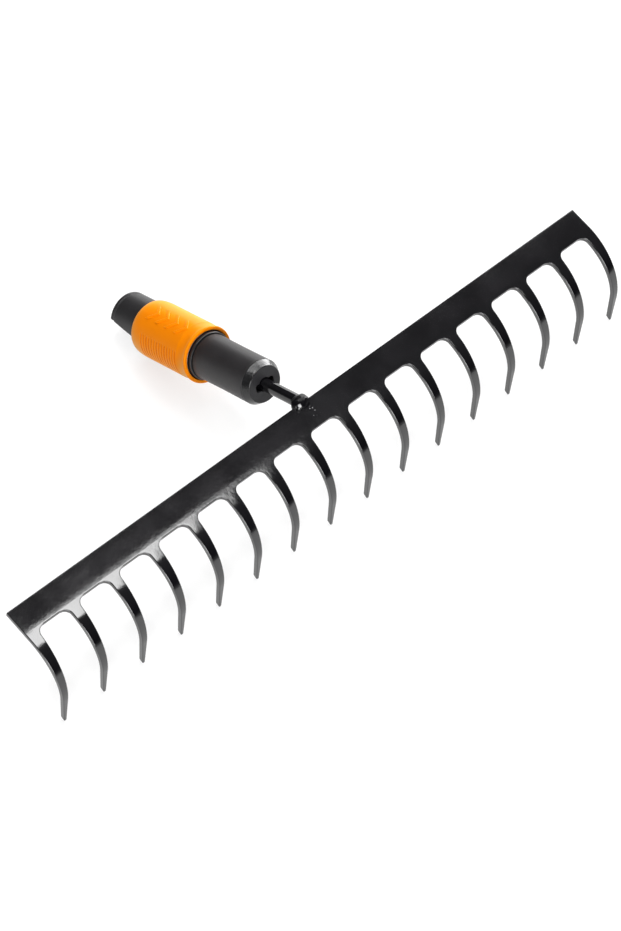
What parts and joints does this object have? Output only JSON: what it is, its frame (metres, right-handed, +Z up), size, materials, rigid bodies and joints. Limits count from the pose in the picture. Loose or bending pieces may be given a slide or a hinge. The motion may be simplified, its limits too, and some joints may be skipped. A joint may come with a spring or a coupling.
{
  "type": "soil rake head",
  "caption": "Click-on soil rake head: a pressed steel blade with curved tapered tines, a welded neck rod and a locking handle socket with a sliding collar.",
  "frame": {"origin": "on the floor under the centre of the head's bounding box, the head lying on its tine points and its collar", "axes": "+X along the blade, +Y from the tines towards the handle, +Z up"},
  "size_m": [0.412, 0.1866, 0.0629],
  "materials": {
    "blade": "gloss black paint on pressed steel",
    "rod": "gloss black paint on steel rod",
    "weld": "gloss black paint on weld metal",
    "cap": "semi-gloss black",
    "sleeve": "fine matt texture",
    "ring": "satin black",
    "core": "satin black",
    "collar": "satin orange",
    "spring": "bright spring wire",
    "pin": "plain steel",
    "pawl": "plain steel"
  },
  "bodies": {
    "head": {"rake_blade": "blade", "neck_rod": "rod", "weld_bead": "weld", "tang_pin": "pin", "end_cap": "cap", "outer_sleeve": "sleeve", "stop_ring": "ring", "socket_core": "core", "return_spring": "spring"},
    "collar": {"lock_collar": "collar"},
    "pawl_top": {"latch_pawl_top": "pawl"},
    "pawl_bottom": {"latch_pawl_bottom": "pawl"}
  },
  "joints": [
    {"name": "collar_slide", "type": "slide", "parent": "head", "child": "collar", "axis": [0, -0.9444, 0.3288], "range_m": [0, 0.008], "stiffness_N_per_m": 800, "springref_m": -0.006, "deforming": ["return_spring"]},
    {"name": "pawl_top_slide", "type": "slide", "parent": "head", "child": "pawl_top", "axis": [0, 0.3288, 0.9444], "range_m": [0, 0.0012]},
    {"name": "pawl_bottom_slide", "type": "slide", "parent": "head", "child": "pawl_bottom", "axis": [0, -0.3288, -0.9444], "range_m": [0, 0.0012]}
  ],
  "couplings": [
    {"joint": "pawl_top_slide", "follows": "collar_slide", "ratio": 0.15},
    {"joint": "pawl_bottom_slide", "follows": "collar_slide", "ratio": 0.15}
  ]
}
